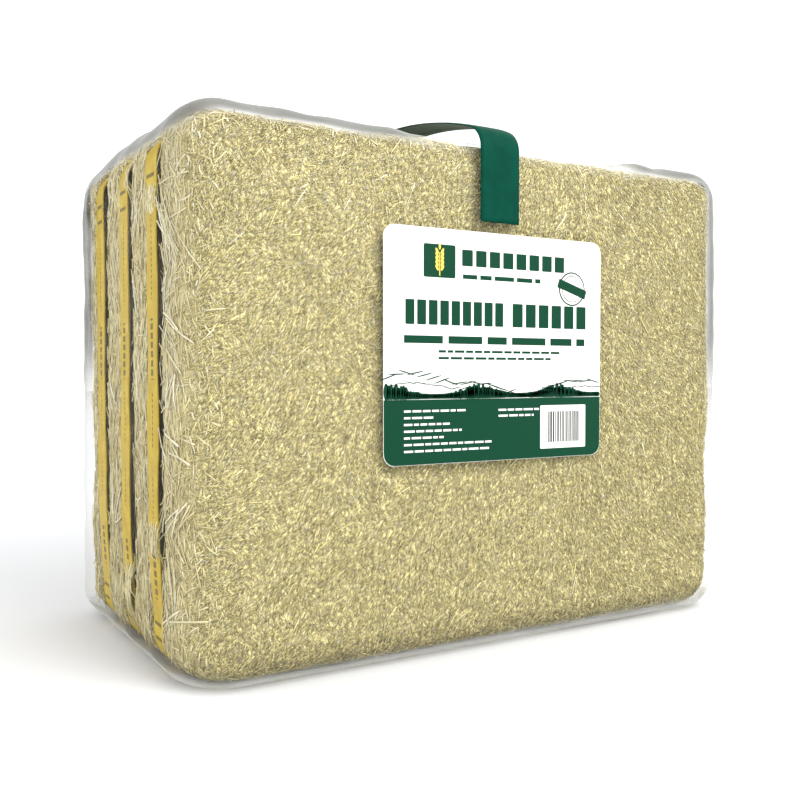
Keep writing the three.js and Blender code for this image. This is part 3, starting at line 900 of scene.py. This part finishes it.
def printed_disc(x, z, wide, high, colour, layer, turn=0.0):
    """A printed oval."""
    made = bmesh.ops.create_cone(ink, cap_ends=True, segments=48 if wide > 20 else 12,
                                  radius1=0.5, radius2=0.5, depth=1)["verts"]
    for face in {f for v in made for f in v.link_faces}:
        face.material_index = colour
    bmesh.ops.rotate(ink, verts=made, cent=(0, 0, 0), matrix=Matrix.Rotation(math.pi / 2, 3, "X"))
    bmesh.ops.scale(ink, vec=(wide * MM, INK_THICKNESS, high * MM), verts=made)
    bmesh.ops.rotate(ink, verts=made, cent=(0, 0, 0), matrix=Matrix.Rotation(turn, 3, "Y"))
    bmesh.ops.translate(ink, verts=made, vec=(
        label_low.x + x * MM, label_low.y - layer * INK_THICKNESS * 0.8, label_low.z + z * MM))


label_width = (label_high.x - label_low.x) / MM
# The green foot of the label, with its lower corners round like the sheet's.
printed(label_width / 2, 26.5, label_width - 0.6, 52.5, GREEN, corner=LABEL_CORNER / MM, foot=True)
# The wheat ear on its square, and the two rules beside it.
printed(53, 165.5, 31, 27, GREEN, corner=1.5)
printed(53, 163, 0.9, 19, STRAW, 2)
for row in range(5):
    for lean in (-1, 1):
        printed_disc(53 + lean * 2.6, 160 + row * 3.4, 2.3, 5.4, STRAW, 2, lean * 0.5)
printed_disc(53, 177.0, 2.2, 4.6, STRAW, 2)
blocks_row(73.5, 169.5, 113, 13.5, 8)
words(76, 154, 82, 3.6, GREEN, 1, 81)
# The title's blocks, the rules below them, and a ring where a stamp would be.
blocks_row(19, 123.5, 100, 20, 9)
blocks_row(126, 123.5, 86, 20, 6)
words(19, 101.5, 190, 6.2, GREEN, 1, 82)
words(52, 92, 128, 2.0, GREEN, 1, 83)
words(52, 86.5, 118, 2.0, GREEN, 1, 84)
printed_disc(194, 149, 30, 30, GREEN, 1)
printed_disc(194, 149, 27.5, 27.5, WHITE, 2)
printed_disc(194, 149, 23.5, 23.5, GREEN, 3)
printed_disc(194, 149, 22.3, 22.3, WHITE, 4)
printed(194, 149, 33, 8, GREEN, 5, corner=1.0, turn=0.3)
# Hills, in three bands from far to near, and a row of trees along the foot.
draw_label = np.random.default_rng(85)
for hill in range(26):
    place = 4 + hill * 8.6
    rise = 14 + 10 * math.sin(place / 34 + 0.6) + 4 * math.sin(place / 13)
    printed_disc(place, 55 + rise * 0.72, 17, 1.1, GREEN, 1, draw_label.uniform(-0.35, 0.35))
    printed_disc(place + 4, 55 + rise * 0.42, 12, 0.8, GREEN, 1, draw_label.uniform(-0.3, 0.3))
for tree_at in np.arange(2.5, label_width - 2, 2.3):
    clump = 4.5 + 8.5 * abs(math.sin(tree_at / 27 + 1.3)) ** 3 * draw_label.uniform(0.5, 1.2)
    printed_disc(tree_at, 53.5 + clump * 0.4, draw_label.uniform(3.2, 5.0), clump, GREEN, 1)
# Small print on the green, and the panel of bars.
for line in range(7):
    words(19, 43.5 - line * 5.4, (62, 30, 44, 56, 38, 88, 84)[line], 1.7, WHITE, 2, 90 + line)
for line in range(2):
    words(113, 43.0 - line * 5.0, (44, 38)[line], 1.7, WHITE, 2, 97 + line)
printed(184.5, 27, 52, 38, WHITE, 2, corner=1.0)
bar_at = 166.0
while bar_at < 203:
    bar = draw_label.uniform(0.5, 1.5)
    printed(bar_at, 27, bar, 27, BLACK, 3)
    bar_at += bar + draw_label.uniform(0.5, 1.3)
bmesh.ops.recalc_face_normals(ink, faces=ink.faces[:])
finished(ink, "label_print", inks, "label", smooth=False)

# ------------------------------------------------------------------------------------------
# The stage: a pale studio floor that runs back into a white surround, a broad soft light over
# the front and a camera at the front left corner.

floor_bm = bmesh.new()
bmesh.ops.create_grid(floor_bm, x_segments=1, y_segments=1, size=12.0)
floor_material, floor_tree = new_material("studio_floor")
coat(floor_tree, {"Base Color": linear("#DBDCDE"), "Roughness": 0.9, "Specular IOR Level": 0.0})
floor = finished(floor_bm, "studio_floor", [floor_material], None, smooth=False)

world = bpy.data.worlds.new("studio")
bpy.context.scene.world = world
world.use_nodes = True
world.node_tree.nodes["Background"].inputs["Color"].default_value = (1, 1, 1, 1)
world.node_tree.nodes["Background"].inputs["Strength"].default_value = 1.35

SUN_FROM = Vector((0.6, -1.0, 0.8))
sun_data = bpy.data.lights.new("soft_fill", "SUN")
sun_data.energy = 0.8
sun_data.angle = math.radians(50)
sun = bpy.data.objects.new("soft_fill", sun_data)
sun.rotation_euler = (-SUN_FROM).to_track_quat("-Z", "Y").to_euler()
bpy.context.scene.collection.objects.link(sun)

KEY_AT = Vector((0.25, -1.3, 1.25))
KEY_AIM = Vector((0, -0.17, 0.25))
key_data = bpy.data.lights.new("soft_key", "AREA")
key_data.shape = "SQUARE"
key_data.size = 0.9
key_data.energy = 17
key = bpy.data.objects.new("soft_key", key_data)
key.location = KEY_AT
key.rotation_euler = (KEY_AIM - KEY_AT).to_track_quat("-Z", "Y").to_euler()
bpy.context.scene.collection.objects.link(key)

CAMERA_AT = Vector((-0.4912, -0.8107, 0.2372))
CAMERA_YAW = math.radians(30.98)
CAMERA_PITCH = math.radians(-1.64)
camera_data = bpy.data.cameras.new("camera")
camera_data.sensor_width = 36
camera_data.lens = 42.2
camera = bpy.data.objects.new("camera", camera_data)
camera.location = CAMERA_AT
camera.rotation_euler = (math.pi / 2 + CAMERA_PITCH, 0, -CAMERA_YAW)
bpy.context.scene.collection.objects.link(camera)
bpy.context.scene.camera = camera
bpy.context.scene.view_settings.view_transform = "Standard"
